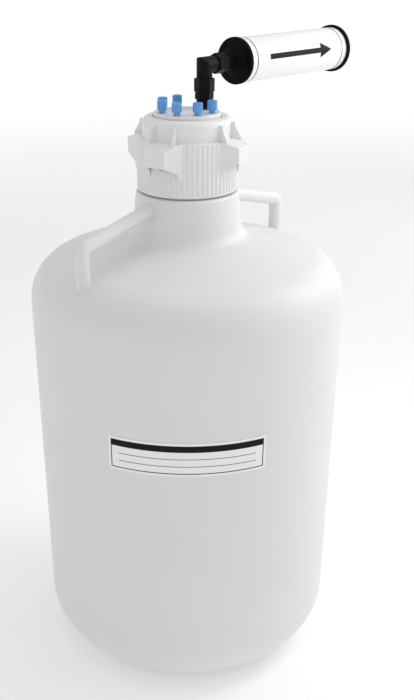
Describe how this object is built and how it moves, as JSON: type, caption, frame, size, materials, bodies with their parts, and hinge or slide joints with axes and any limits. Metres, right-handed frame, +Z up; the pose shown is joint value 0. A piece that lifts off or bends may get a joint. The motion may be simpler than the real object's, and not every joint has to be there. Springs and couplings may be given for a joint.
{
  "type": "carboy",
  "caption": "Round plastic carboy with moulded bar handles, a ribbed and lobed closure ring, a plate of small tube ports and a cylindrical vent filter on a swivelling elbow.",
  "frame": {"origin": "centre of the base, on the surface it stands on", "axes": "+Z up along the neck's axis, -Y out through the label, +X to the right of the label"},
  "size_m": [0.3014, 0.3078, 0.5747],
  "materials": {
    "body_plastic": "satin blow-moulded polyethylene",
    "label_sheet": "printed film",
    "closure_plastic": "satin moulded polypropylene",
    "plate_plastic": "satin turned plastic",
    "gasket_rubber": "soft matt silicone",
    "seal_rubber": "soft matt rubber",
    "nut_plastic": "moulded, slightly glossy",
    "ferrule_plastic": "machined",
    "fitting_plastic": "satin moulded black plastic",
    "cap_plastic": "satin moulded black plastic",
    "tube_plastic": "smooth extruded tube",
    "carbon": "granules",
    "pad_felt": "non-woven felt"
  },
  "bodies": {
    "carboy": {"carboy_body": "body_plastic", "body_label": "label_sheet"},
    "closure": {"port_plate": "plate_plastic", "neck_gasket": "gasket_rubber", "filter_adapter": "fitting_plastic", "adapter_seal": "seal_rubber", "elbow_nut": "fitting_plastic", "tube_ferrule_1": "ferrule_plastic", "tube_ferrule_2": "ferrule_plastic", "tube_ferrule_3": "ferrule_plastic", "tube_ferrule_4": "ferrule_plastic", "tube_ferrule_5": "ferrule_plastic", "tube_ferrule_6": "ferrule_plastic"},
    "ring": {"closure_ring": "closure_plastic"},
    "elbow": {"elbow": "fitting_plastic", "filter_nut": "fitting_plastic"},
    "filter": {"filter_inlet_cap": "cap_plastic", "filter_tube": "tube_plastic", "filter_end_cap": "cap_plastic", "carbon_bed": "carbon", "inlet_pad": "pad_felt", "outlet_pad": "pad_felt"},
    "nut_1": {"tube_nut_1": "nut_plastic"},
    "nut_2": {"tube_nut_2": "nut_plastic"},
    "nut_3": {"tube_nut_3": "nut_plastic"},
    "nut_4": {"tube_nut_4": "nut_plastic"},
    "nut_5": {"tube_nut_5": "nut_plastic"},
    "nut_6": {"tube_nut_6": "nut_plastic"}
  },
  "joints": [
    {"name": "closure_lift", "type": "slide", "parent": "carboy", "child": "closure", "axis": [0, 0, 1], "range_m": [0, 0.1]},
    {"name": "ring_turn", "type": "hinge", "parent": "closure", "child": "ring", "pos_m": [0, 0, 0.48], "axis": [0, 0, 1], "continuous": true},
    {"name": "elbow_swivel", "type": "hinge", "parent": "closure", "child": "elbow", "pos_m": [0.01485, 0.01485, 0.54], "axis": [0, 0, 1], "continuous": true},
    {"name": "filter_turn", "type": "hinge", "parent": "elbow", "child": "filter", "pos_m": [0.01485, 0.01485, 0.5526], "axis": [0.6871, 0.7266, 0], "continuous": true},
    {"name": "nut_1_turn", "type": "hinge", "parent": "closure", "child": "nut_1", "pos_m": [-0.02143, -0.00888, 0.52], "axis": [0, 0, 1], "continuous": true},
    {"name": "nut_2_turn", "type": "hinge", "parent": "closure", "child": "nut_2", "pos_m": [-0.00888, -0.02143, 0.52], "axis": [0, 0, 1], "continuous": true},
    {"name": "nut_3_turn", "type": "hinge", "parent": "closure", "child": "nut_3", "pos_m": [0.00888, -0.02143, 0.52], "axis": [0, 0, 1], "continuous": true},
    {"name": "nut_4_turn", "type": "hinge", "parent": "closure", "child": "nut_4", "pos_m": [0.02143, -0.00888, 0.52], "axis": [0, 0, 1], "continuous": true},
    {"name": "nut_5_turn", "type": "hinge", "parent": "closure", "child": "nut_5", "pos_m": [-0.02143, 0.00888, 0.52], "axis": [0, 0, 1], "continuous": true},
    {"name": "nut_6_turn", "type": "hinge", "parent": "closure", "child": "nut_6", "pos_m": [-0.00888, 0.02143, 0.52], "axis": [0, 0, 1], "continuous": true}
  ]
}
